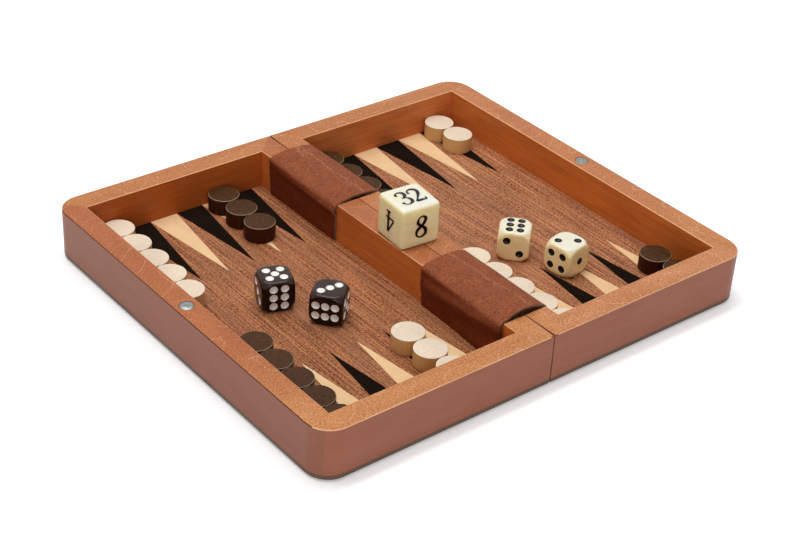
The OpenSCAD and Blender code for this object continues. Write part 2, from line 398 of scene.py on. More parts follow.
@dataclass(frozen=True)
class StreakedVeneer(Finish):
    """Sliced walnut veneer: fine parallel fibres, flecked all over where the knife cut across them.

    The fibres run from a red-brown to a paler tan, long dark pores lie open, and broad bands are greyer.
    """

    fibre: str = "#562715"
    pale_fibre: str = "#d28f64"
    grey: str = "#94694f"
    pore: str = "#451d0f"
    fibres: Pattern = Pattern(0.55, 36.0, detail=1.5, roughness=0.6)
    pores: Pattern = Pattern(0.44, 18.0, detail=2.0)
    flecks: Pattern = Pattern(0.5, 1.5, detail=1.5, roughness=0.6)
    bands: Pattern = Pattern(3.85, 72.0, roughness=0.6)
    fibre_span: Span = (0.43, 0.59)
    fleck_span: Span = (0.44, 0.58)
    band_span: Span = (0.44, 0.64)
    band_strength: float = 0.4
    pore_span: Span = (0.57, 0.66)
    pore_strength: float = 0.8
    pore_flecks: Span = (0.4, 0.6)
    pore_kept: Span = (0.9, 0.2)
    grain: Axis = Axis.ALONG_Y
    relief_mm: float = 0.012
    roughness: float = 0.5
    gloss: float = 0.1

    def surface(self, nodes: Shader) -> Socket:
        """Builds a fibrous ground with open pores."""
        fibres, pores, flecks = (nodes.noise(look) for look in (self.fibres, self.pores, self.flecks))
        tone = nodes.tone(fibres, self.fibre_span, flecks, self.fleck_span)
        banded = nodes.mix(nodes.ramp(nodes.noise(self.bands), self.band_span, 0.0, self.band_strength),
                           nodes.mix(tone, self.fibre, self.pale_fibre), self.grey)
        open_pores = nodes.calc("MULTIPLY", nodes.ramp(pores, self.pore_span, 0.0, self.pore_strength),
                                nodes.ramp(flecks, self.pore_flecks, *self.pore_kept))
        return self.coated(nodes, nodes.mix(open_pores, banded, self.pore),
                           nodes.calc("SUBTRACT", fibres, open_pores))


@dataclass(frozen=True)
class TwoTone(Finish):
    """A finish whose one pattern gives both its relief and the change between two near colours."""

    colour: str = "#ffffff"
    shade: str = "#000000"
    pattern: Pattern = Pattern(1.0)
    span: Span = (0.0, 1.0)

    def surface(self, nodes: Shader) -> Socket:
        """Builds the two colours over the relief."""
        height = nodes.noise(self.pattern)
        return self.coated(nodes, nodes.mix(nodes.ramp(height, self.span), self.shade, self.colour), height)


@dataclass(frozen=True)
class StainedPanel(TwoTone):
    """Dark stained base panel: thin board sprayed grey-brown, with the grain just showing."""

    colour: str = "#7a6354"
    shade: str = "#5f4a3e"
    pattern: Pattern = Pattern(0.8, 18.0, detail=4.0)
    span: Span = USUAL
    grain: Axis = Axis.ALONG_Y
    relief_mm: float = 0.008
    gloss: float = 0.12


@dataclass(frozen=True)
class CutLeather(TwoTone):
    """Raw cut edge of the leather: pale fibres, greyer than the grain side, and paler still as a painted
    highlight.
    """

    colour: str = "#96786a"
    shade: str = "#43281e"
    pattern: Pattern = Pattern(0.4)
    relief_mm: float = 0.06
    roughness: float = 0.8
    gloss: float = 0.02


@dataclass(frozen=True)
class NickelPlate(TwoTone):
    """Nickel plated magnet: satin metal, a little dulled and scuffed by handling."""

    colour: str = "#949d9a"
    shade: str = "#79837f"
    pattern: Pattern = Pattern(0.9, detail=4.0)
    span: Span = (0.35, 0.65)
    relief_mm: float = 0.005
    roughness: float = 0.3
    metallic: float = 1.0


@dataclass(frozen=True)
class EnamelPaint(TwoTone):
    """Enamel wiped into pips and numerals: a thin glossy film that pools unevenly."""

    colour: str = "#f2efea"
    shade: str = "#dcd8d2"
    pattern: Pattern = Pattern(1.0, detail=2.0)
    roughness: float = 0.25


@dataclass(frozen=True)
class DyedVeneer(Finish):
    """Dyed maple veneer: dyed right through and nearly even, with a faint grain left in it."""

    colour: str = "#e5c397"
    shade: str = "#dcb586"
    fibres: Pattern = Pattern(0.6, 18.0)
    clouds: Pattern = Pattern(6.0, 12.0, detail=2.0)
    grain: Axis = Axis.ALONG_Y
    relief_mm: float = 0.004
    gloss: float = 0.1

    def surface(self, nodes: Shader) -> Socket:
        """Builds an even colour with a faint grain."""
        fibres = nodes.noise(self.fibres)
        tone = nodes.tone(fibres, USUAL, nodes.noise(self.clouds))
        return self.coated(nodes, nodes.mix(tone, self.shade, self.colour), fibres)


@dataclass(frozen=True)
class TurnedWood(Finish):
    """Wood sliced from a turned rod: end grain on the flat faces, side grain round the edge.

    The rounded edge between the sides and the flat faces is coloured paler, as a fine ring. No two pieces are
    alike.
    """

    top: str = "#e4d3bf"
    top_shade: str = "#dac6ac"
    side: str = "#d8ad76"
    side_shade: str = "#cc9f64"
    rim: str = "#f0e6d4"
    ends: Pattern = Pattern(0.8, 2.4, detail=4.0, roughness=0.6)
    fibres: Pattern = Pattern(0.64, 12.0, grain=Axis.ALONG_Z)
    pieces: Pattern = Pattern(22.0, detail=1.0)
    end_span: Span = (0.32, 0.66)
    rim_up: Span = (0.35, 0.6)
    top_up: Span = (0.85, 0.96)
    piece_values: Span = (0.92, 1.06)
    relief_mm: float = 0.01
    gloss: float = 0.15

    def surface(self, nodes: Shader) -> Socket:
        """Builds end grain on top and side grain round the edge."""
        ends, fibres, pieces = (nodes.noise(look) for look in (self.ends, self.fibres, self.pieces))
        top = nodes.mix(nodes.ramp(ends, self.end_span), self.top_shade, self.top)
        side = nodes.mix(nodes.ramp(fibres, USUAL), self.side_shade, self.side)
        upward = nodes.calc("ABSOLUTE", nodes.part("Normal", "Z"))
        edged = nodes.mix(nodes.ramp(upward, self.rim_up), side, self.rim)
        varied = add_node(nodes.tree, "ShaderNodeHueSaturation", {
            "Value": nodes.ramp(pieces, USUAL, *self.piece_values),
            "Color": nodes.mix(nodes.ramp(upward, self.top_up), edged, top)})
        return self.coated(nodes, varied.outputs[0], ends)


@dataclass(frozen=True)
class TannedLeather(Finish):
    """Vegetable tanned leather: a finely speckled grain side with a soft sheen and a painted highlight on the
    fold.

    The arch over the fold is coloured lighter, as painted light, and the parts that hang inside the trays a
    darker tan, as painted shade.
    """

    colour: str = "#9a5739"
    dark: str = "#6b3723"
    hanging_shade: str = "#782e0b"
    hanging_shade_dark: str = "#4e1c05"
    crease: str = "#bb7e5e"
    speckles: Pattern = Pattern(0.8, detail=2.0, roughness=0.65)
    clouds: Pattern = Pattern(7.0, detail=2.0)
    wander: Pattern = Pattern(5.0, 22.0, detail=2.0)
    pebble_mm: float = 0.35
    speckle_span: Span = (0.38, 0.62)
    speckle_share: float = 0.75
    crease_x_mm: float = 3.0
    crease_w_mm: float = 1.6
    crease_span: Span = (0.4, 0.65)
    crease_strength: float = 0.7
    wander_span: Span = (0.25, 0.75)
    wander_mm: float = 3.0
    arch_up: Span = (0.0, 0.75)
    sheen: float = 0.02
    grain: Axis = Axis.ALONG_Y
    relief_mm: float = 0.03
    roughness: float = 0.6
    gloss: float = 0.06

    def surface(self, nodes: Shader) -> Socket:
        """Builds speckled leather with a painted highlight along the fold's crease and painted shade where it
        hangs.
        """
        speckle = nodes.noise(self.speckles)
        tone = nodes.tone(speckle, self.speckle_span, nodes.noise(self.clouds), share=self.speckle_share)
        # A pale painted highlight runs along a wandering crease line over the arch
        reach = self.wander_mm * MM
        shift = nodes.ramp(nodes.noise(self.wander), self.wander_span, -reach, reach)
        line_at = nodes.calc("ADD", nodes.part("Object", "X"), shift)
        off = nodes.calc("ABSOLUTE", nodes.calc("SUBTRACT", line_at, self.crease_x_mm * MM))
        near = nodes.calc("MULTIPLY", nodes.ramp(off, (self.crease_w_mm * MM, 0.0)),
                          nodes.ramp(speckle, self.crease_span, 0.0, self.crease_strength))
        arch_with_highlight = nodes.mix(near, nodes.mix(tone, self.dark, self.colour), self.crease)
        # Painted light and shade: the upward-facing arch is lighter, the hanging sides darker
        colour = nodes.mix(nodes.ramp(nodes.part("Normal", "Z"), self.arch_up),
                           nodes.mix(tone, self.hanging_shade_dark, self.hanging_shade), arch_with_highlight)
        pebbles = add_node(nodes.tree, "ShaderNodeTexVoronoi",
                           {"Vector": nodes.marks(self.pebble_mm), "Scale": 1.0})
        relief = nodes.calc("ADD", speckle, pebbles.outputs[0])
        return self.coated(nodes, colour, relief, Sheen_Weight=self.sheen)


@dataclass(frozen=True)
class PolishedResin(Finish):
    """Cast polyester resin, tumbled to a gloss, with slow swirls of a second colour.

    Pale resin lets some light in and glows a little. Its flanks are coloured apart from its top as painted
    light
    and shade: warmer on pale resin, as the wood's bounce light, and darker on brown resin.
    """

    colour: str = "#2b1c1a"
    swirl: str = "#35221f"
    flank_shading: str = "#241412"
    swirls: Pattern = Pattern(5.0, 10.0, detail=2.0, distortion=1.2)
    swirl_span: Span = (0.5, 0.8)
    swirl_strength: float = 0.6
    top_up: Span = (0.3, 0.9)
    glow_mm: float = 0.0
    glow_share: float = 0.5
    glow_colour: Triple = (1.0, 0.7, 0.35)
    refraction: float = 1.54
    roughness: float = 0.16

    def surface(self, nodes: Shader) -> Socket:
        """Builds glossy resin with swirls."""
        swirls = nodes.noise(self.swirls)
        # Painted light and shade: the flanks take their own colour apart from the top
        body = nodes.mix(nodes.ramp(nodes.part("Normal", "Z"), self.top_up), self.flank_shading, self.colour)
        colour = nodes.mix(nodes.ramp(swirls, self.swirl_span, 0.0, self.swirl_strength), body, self.swirl)
        glow = {}
        if self.glow_mm:
            glow = {"Subsurface_Weight": self.glow_share, "Subsurface_Radius": self.glow_colour,
                    "Subsurface_Scale": self.glow_mm * MM}
        return self.coated(nodes, colour, swirls, IOR=self.refraction, **glow)


# Each half has its own copies of the hardwood; their colours differ partly with the wood and partly as
# painted light and shade on that half
END_RAIL_WOOD = {
    Tray.LEFT: LacqueredHardwood("left end rail hardwood", inner="#c26529", inner_dark="#9d4b1d",
                                 grain=Axis.ALONG_X),
    Tray.RIGHT: LacqueredHardwood("right end rail hardwood", top="#d5976b", inner="#e08646",
                                  inner_dark="#b66134", grain=Axis.ALONG_X)}
SIDE_RAIL_WOOD = {
    Tray.LEFT: LacqueredHardwood("left side rail hardwood", heart="#bc7347", heart_dark="#894829",
                                 arc="#d9a27a", outer="#9b6450", outer_dark="#925944"),
    Tray.RIGHT: LacqueredHardwood("right side rail hardwood", heart="#c78355", heart_dark="#94542f",
                                  inner="#d67935", inner_dark="#b05825")}
WALNUT = {
    Tray.LEFT: StreakedVeneer("left walnut veneer", fibre="#552311", pale_fibre="#c68459"),
    Tray.RIGHT: StreakedVeneer("right walnut veneer")}
CREAM_VENEER = DyedVeneer("cream dyed veneer")
BLACK_VENEER = DyedVeneer("black dyed veneer", colour="#211812", shade="#17100c", gloss=0.0)
DARK_SQUARE = StreakedVeneer("dark square veneer", fibre="#402115", pale_fibre="#6b4230", grey="#4a3226",
                             pore="#2a130b")
BASE_STAIN = StainedPanel("stained base panel")
BOXWOOD = TurnedWood("turned boxwood")
DARK_TURNED = TurnedWood("turned dark wood", top="#4f321b", top_shade="#2f1b0c", side="#4a2211",
                         side_shade="#2e1509", rim="#94836a", gloss=0.08)
LEATHER = TannedLeather("tanned leather")
LEATHER_EDGE = CutLeather("cut leather edge")
NICKEL = NickelPlate("nickel plate")
BROAD_SWIRLS = Pattern(8.0, 16.0, detail=2.0, distortion=1.2)
BROWN_RESIN = PolishedResin("brown resin", colour="#2f1913", swirl="#3b2019", flank_shading="#1a0a06", roughness=0.12,
                            gloss=0.2)
IVORY_RESIN = PolishedResin("ivory resin", colour="#e1decb", swirl="#e2ca8e", flank_shading="#f7e3ae",
                            swirls=BROAD_SWIRLS, glow_mm=1.5, roughness=0.2, gloss=0.4)
CUBE_RESIN = PolishedResin("doubling cube resin", colour="#e5e1d0", swirl="#ead39c", flank_shading="#ffedba",
                           swirls=BROAD_SWIRLS, glow_mm=8.0, roughness=0.2, gloss=0.4)
WHITE_ENAMEL = EnamelPaint("white enamel")
BLACK_ENAMEL = EnamelPaint("black enamel", colour="#15110f", shade="#0c0a09", roughness=0.2, gloss=0.2)


def put_in_scene(name: str, data: bpy.types.ID) -> Piece:
    """Makes an object for a mesh, a lamp or a camera, and links it into the scene."""
    made = bpy.data.objects.new(name, data)
    bpy.context.scene.collection.objects.link(made)
    return made


def mesh_object(name: str, shape: Shape, finishes: list[Finish], smooth_deg: float = SMOOTH_DEG) -> Piece:
    """Turns a finished bmesh into an object in the scene.

    Args:
        name: Name of the piece.
        shape: The shape, in metres in the frame; it is freed.
        finishes: One finish for each material number on the faces.
        smooth_deg: Edges sharper than this stay crisp.

    Returns:
        The new object, at the origin.
    """
    bmesh.ops.recalc_face_normals(shape, faces=shape.faces)
    mesh = bpy.data.meshes.new(name)
    shape.to_mesh(mesh)
    shape.free()
    for polygon in mesh.polygons:
        polygon.use_smooth = True
    mesh.set_sharp_from_angle(angle=math.radians(smooth_deg))
    for finish in finishes:
        mesh.materials.append(finish.material())
    return put_in_scene(name, mesh)


def carve(piece: Piece, cutter: Piece, smooth_deg: float = SMOOTH_DEG) -> None:
    """Cuts one object out of another and keeps the cutter's finish on the cut.

    Args:
        piece: Object that is cut; its mesh is replaced.
        cutter: Object that is cut away; it is deleted.
        smooth_deg: Edges sharper than this stay crisp.
    """
    cut = piece.modifiers.new("cut", "BOOLEAN")
    cut.operation = "DIFFERENCE"
    cut.solver = "EXACT"
    cut.object = cutter
    bpy.context.view_layer.update()
    ready = piece.evaluated_get(bpy.context.evaluated_depsgraph_get())
    mesh = bpy.data.meshes.new_from_object(ready)
    piece.modifiers.clear()
    piece.data = mesh
    bpy.data.objects.remove(cutter)
    mesh.set_sharp_from_angle(angle=math.radians(smooth_deg))


def seat(piece: Piece, body: str, slot: str, *nodes: str) -> None:
    """Puts a piece on its body and in place of its frame nodes.

    Args:
        piece: The piece.
        body: Body that it rides on.
        slot: Material slot of the record; not used.
        *nodes: Frame nodes that it replaces.
    """
    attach(piece, body)
    if nodes:
        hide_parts(*nodes)
    LOG.info("%s rides on %s", piece.name, body)


def dress(node: Piece, finish: Finish) -> None:
    """Gives a frame node one finish in place of its own."""
    node.data.materials.clear()
    node.data.materials.append(finish.material())
    LOG.info("%s is finished in %s", node.name, finish.name)


def round_node(name: str) -> tuple[Vector, float, float]:
    """Measures an upright round frame node.

    Args:
        name: Name of the node.

    Returns:
        The foot of its axis, its radius and its height.
    """
    low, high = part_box(name)
    foot = (low + high) / 2
    foot.z = low.z
    return foot, (high.x - low.x) / 2, high.z - low.z


def skin(shape: Shape, rings: list[list[bmesh.types.BMVert]]) -> None:
    """Joins a row of rings into a closed skin.

    Args:
        shape: Shape that has the rings and gets the faces.
        rings: Rings of points. One point alone is a tip, and an end ring that is no tip gets a flat face.
    """
    for end in (rings[0][::-1], rings[-1]):
        if len(end) > 1:
            shape.faces.new(end)
    for lower, upper in zip(rings, rings[1:]):
        for i in range(max(len(lower), len(upper))):
            corners = ((lower, i), (lower, i + 1), (upper, i + 1), (upper, i))
            shape.faces.new(list(dict.fromkeys(ring[k % len(ring)] for ring, k in corners)))


def lathe(profile: Outline, at: Matrix, turns: int, shape: Shape | None = None) -> Shape:
    """Turns a profile about an upright axis.

    Args:
        profile: Radius and height pairs from the bottom centre to the top centre.
        at: Place and direction of the axis, from its foot.
        turns: Number of steps round the axis.
        shape: Shape that collects the result, or none for a new one.

    Returns:
        The closed shape.
    """
    shape = shape or bmesh.new()
    rings = []
    for radius, height in profile:
        angles = [math.tau * i / turns for i in range(turns if radius else 1)]
        rings.append([shape.verts.new(at @ Vector((radius * math.cos(a), radius * math.sin(a), height)))
                      for a in angles])
    skin(shape, rings)
    return shape


def drawn_in(outline: Outline, sharp: set[int], inset: float) -> Outline:
    """Moves the edges of an outline inwards.

    Args:
        outline: Corners in x and y.
        sharp: Numbers of the edges that stay; edge 0 runs from the first corner to the second.
        inset: How far the others move.

    Returns:
        The new corners.
    """
    count = len(outline)
    area = sum(outline[i - 1][0] * y - x * outline[i - 1][1] for i, (x, y) in enumerate(outline))
    inward = []
    for i, (x, y) in enumerate(outline):
        step = Vector(outline[(i + 1) % count]) - Vector((x, y))
        inward.append(Vector((-step.y, step.x)).normalized() * math.copysign(1, area))
    corners = []
    for i, (x, y) in enumerate(outline):
        (n1, d1), (n2, d2) = ((inward[k], 0.0 if k % count in sharp else inset) for k in (i - 1, i))
        det = n1.x * n2.y - n1.y * n2.x
        corners.append((x + (d1 * n2.y - d2 * n1.y) / det, y + (n1.x * d2 - n2.x * d1) / det))
    return corners


EASE_STEPS = 4
# How far past its rounding an eased edge holds on to the flat faces beside it, in parts of the radius
EASE_MARGIN = 0.25


def eased_prism(outline: Outline, sharp: set[int], low: float, high: float, ease: float) -> Shape:
    """Extrudes an outline straight up and rounds the edges of its top.

    Args:
        outline: Corners in x and y.
        sharp: Numbers of the edges that stay sharp.
        low: Height of the bottom.
        high: Height of the top.
        ease: Radius of the rounding.

    Returns:
        The closed shape.
    """
    margin = ease * EASE_MARGIN
    levels = [(0.0, low), (0.0, high - ease - margin)]
    for a in (math.pi / 2 * k / EASE_STEPS for k in range(EASE_STEPS + 1)):
        levels.append((ease * (1 - math.cos(a)), high - ease * (1 - math.sin(a))))
    levels.append((ease + margin, high))
    shape = bmesh.new()
    skin(shape, [[shape.verts.new((x, y, z)) for x, y in drawn_in(outline, sharp, inset)]
                 for inset, z in levels])
    return shape


# The higher the two powers, the sharper a block's edges and the edge between its faces and its ball
BLOCK_POWER = 14.0
BALL_POWER = 40
BLOCK_STEPS = 32


def rounded_block(half: float, ball: float) -> Shape:
    """A cube whose edges and corners are rounded as tumbling rounds them.

    Args:
        half: Half the width between flat faces.
        ball: Radius of the ball that takes off the corners.

    Returns:
        The closed shape, centred on the origin.
    """
    shape = bmesh.new()
    bmesh.ops.create_cube(shape, size=2)
    bmesh.ops.subdivide_edges(shape, edges=shape.edges, cuts=BLOCK_STEPS, use_grid_fill=True)
    for vert in shape.verts:
        spread = Vector([math.sin(c * math.pi / 4) / math.sin(math.pi / 4) for c in vert.co])
        size = sum(abs(c) ** BLOCK_POWER for c in spread) ** (1 / BLOCK_POWER)
        point = spread * (half / size)
        vert.co = point * (1 + (point.length / ball) ** BALL_POWER) ** (-1 / BALL_POWER)
    return shape


@dataclass(frozen=True)
class Layout:
    """Main planes of the box, read from the frame, in metres."""

    seam_x: float
    hinge_wall_x: float
    outer_wall_x: float
    half_w: float
    wall_y: float
    end_y: float
    base_top: float
    floor_top: float
    rim: float

    @classmethod
    def from_frame(cls) -> Layout:
        """Reads the planes off the right half's nodes."""
        floor_low, floor_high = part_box("right_floor")
        _, rail_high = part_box("right_outer_rail")
        hinge_low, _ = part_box("right_hinge_rail")
        _, end_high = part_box("right_back_rail")
        return cls(seam_x=hinge_low.x, hinge_wall_x=floor_low.x, outer_wall_x=floor_high.x,
                   half_w=rail_high.x, wall_y=floor_high.y, end_y=end_high.y, base_top=floor_low.z,
                   floor_top=floor_high.z, rim=rail_high.z)


@dataclass
class TrayHalf:
    """One half of the box: four rails, floor, inlaid points, base, chess squares and magnet."""

    tray: Tray
    layout: Layout
    nodes: dict[str, Piece]
    corner_r: float = 12 * MM
    corner_steps: int = 10
    arris: float = 0.5 * MM
    hinge_arris: float = 0.3 * MM
    hinge_arris_steps: int = 3
    seam_fit: float = 0.02 * MM
    magnet_fit: float = 0.2 * MM
    magnet_bevel: float = 0.3 * MM
    magnet_round: float = 0.09 * MM
    magnet_turns: int = 48
    strap_dip: float = 2.0 * MM
    strap_w: float = 56 * MM
    strap_inset: float = 8.2 * MM
    rebate_end: float = 0.3 * MM

    def build(self) -> None:
        """Builds and dresses every piece of the half."""
        self.end_rail("back", 1)
        self.end_rail("front", -1)
        self.outer_rail()
        self.hinge_rail()
        self.magnet()
        finishes = {"floor": WALNUT[self.tray], "light_points": CREAM_VENEER, "dark_points": BLACK_VENEER,
                    "base": BASE_STAIN, "light_squares": CREAM_VENEER, "dark_squares": DARK_SQUARE}
        for part, finish in finishes.items():
            dress(self.nodes[self.named(part)], finish)

    def named(self, part: str) -> str:
        """Name of one of the half's nodes."""
        return f"{self.tray.label}_{part}"

    def corner(self, end: int, start_deg: float, stop_deg: float) -> Outline:
        """Points round one outer corner of a right-hand half.

        Args:
            end: 1 for the back corner, -1 for the front one.
            start_deg: First angle, from +x towards the end rail.
            stop_deg: Last angle.

        Returns:
            Points in x and y.
        """
        cx = self.layout.half_w - self.corner_r
        cy = self.layout.end_y - self.corner_r
        points = []
        for i in range(self.corner_steps + 1):
            a = math.radians(start_deg + (stop_deg - start_deg) * i / self.corner_steps)
            points.append((cx + self.corner_r * math.cos(a), end * (cy + self.corner_r * math.sin(a))))
        return points

    def prism(self, outline: Outline, sharp: set[int]) -> Shape:
        """Builds a rail of this half from a right-hand outline, whose sharp edges are mitres."""
        mirrored = [(self.tray.value * x, y) for x, y in outline]
        return eased_prism(mirrored, sharp, self.layout.base_top, self.layout.rim, self.arris)

    def fit_rail(self, part: str, shape: Shape, wood: Finish) -> Piece:
        """Finishes a rail and seats it on its tray.

        Args:
            part: Node that it replaces, without the half's word.
            shape: The rail.
            wood: Its finish.

        Returns:
            The rail.
        """
        name = self.named(part)
        rail = mesh_object(f"{name}_wood", shape, [wood])
        seat(rail, self.tray.body, "rail_wood", name)
        return rail

    def end_rail(self, side: str, end: int) -> None:
        """Builds the back or the front rail.

        Args:
            side: "back" or "front".
            end: 1 for the back rail, -1 for the front rail.
        """
        at = self.layout
        outline = [(at.seam_x, end * at.end_y), (at.hinge_wall_x, end * at.wall_y),
                   (at.outer_wall_x, end * at.wall_y), *self.corner(end, MITRE_DEG, 90)]
        self.fit_rail(f"{side}_rail", self.prism(outline, {0, 2}), END_RAIL_WOOD[self.tray])

    def outer_rail(self) -> None:
        """Builds the rail opposite the fold, with the magnet's pocket in its top."""
        at = self.layout
        outline = [(at.outer_wall_x, -at.wall_y), *self.corner(-1, MITRE_DEG, 0),
                   *self.corner(1, 0, MITRE_DEG), (at.outer_wall_x, at.wall_y)]
        wood = SIDE_RAIL_WOOD[self.tray]
        rail = self.fit_rail("outer_rail", self.prism(outline, {0, len(outline) - 2}), wood)
        foot, r, depth = round_node(self.named("magnet"))
        r += self.magnet_fit
        profile = [(0, 0), (r, 0), (r, 2 * depth), (0, 2 * depth)]
        bore = lathe(profile, Matrix.Translation(foot), self.magnet_turns)
        carve(rail, mesh_object(self.named("outer_rail_bore"), bore, [wood]))

    def hinge_rail(self) -> None:
        """Builds the rail beside the fold, with a shallow rebate under each strap.

        The rails of the two halves meet at the fold with hardly a gap, apart from their eased ends.
        """
        at = self.layout
        far = at.wall_y - self.strap_inset + self.rebate_end
        near = far - self.strap_w - 2 * self.rebate_end
        low = at.rim - self.strap_dip
        top = [(at.end_y, at.rim), (far, at.rim), (far, low), (near, low), (near, at.rim)]
        outline = [*((y, at.base_top) for y in (-at.end_y, -far, far, at.end_y)), *top,
                   *((-y, z) for y, z in reversed(top))]
        shape = bmesh.new()
        seam, wall = [], []
        for y, z in outline:
            ends = abs(y) == at.end_y
            seam.append(shape.verts.new((self.tray.value * (at.seam_x if ends else self.seam_fit), y, z)))
            wall.append(shape.verts.new((self.tray.value * at.hinge_wall_x,
                                         math.copysign(at.wall_y, y) if ends else y, z)))
        skin(shape, [wall, seam])
        eased = []
        for edge in shape.edges:
            a, b = (v.co for v in edge.verts)
            mitred = min(abs(b.x - a.x), abs(b.y - a.y)) > self.arris
            if min(a.z, b.z) > low - self.arris and not mitred:
                eased.append(edge)
        bmesh.ops.bevel(shape, geom=eased, offset=self.hinge_arris, segments=self.hinge_arris_steps,
                        profile=0.5, affect="EDGES", clamp_overlap=True)
        self.fit_rail("hinge_rail", shape, SIDE_RAIL_WOOD[self.tray])

    def magnet(self) -> None:
        """Builds the flush magnet with its bevelled plated rim."""
        name = self.named("magnet")
        foot, r, depth = round_node(name)
        bevel, middle = self.magnet_bevel, self.magnet_round
        profile = [(0, 0), (r, 0), (r, depth - bevel), (r - middle, depth - middle), (r - bevel, depth),
                   (0, depth)]
        disc = lathe(profile, Matrix.Translation(foot), self.magnet_turns)
        seat(mesh_object(f"{name}_disc", disc, [NICKEL]), self.tray.body, "magnet_steel", name)


@dataclass(frozen=True)
class Drape:
    """How use has bent one strap, in mm, given at its front end, its middle and its back end.

    The lip is where the arch bulges out as it turns down into the left tray. Below it the leather lies
    against the wall, apart from a foot that may stand off it. The slip is how far the foot of the back end
    has been pulled to the front.
    """

    rise: Triple
    lip: Triple
    lip_depth: Triple
    lip_above: float
    lip_below: float
    slip: float
    foot: Triple = (0.0, 0.0, 0.0)


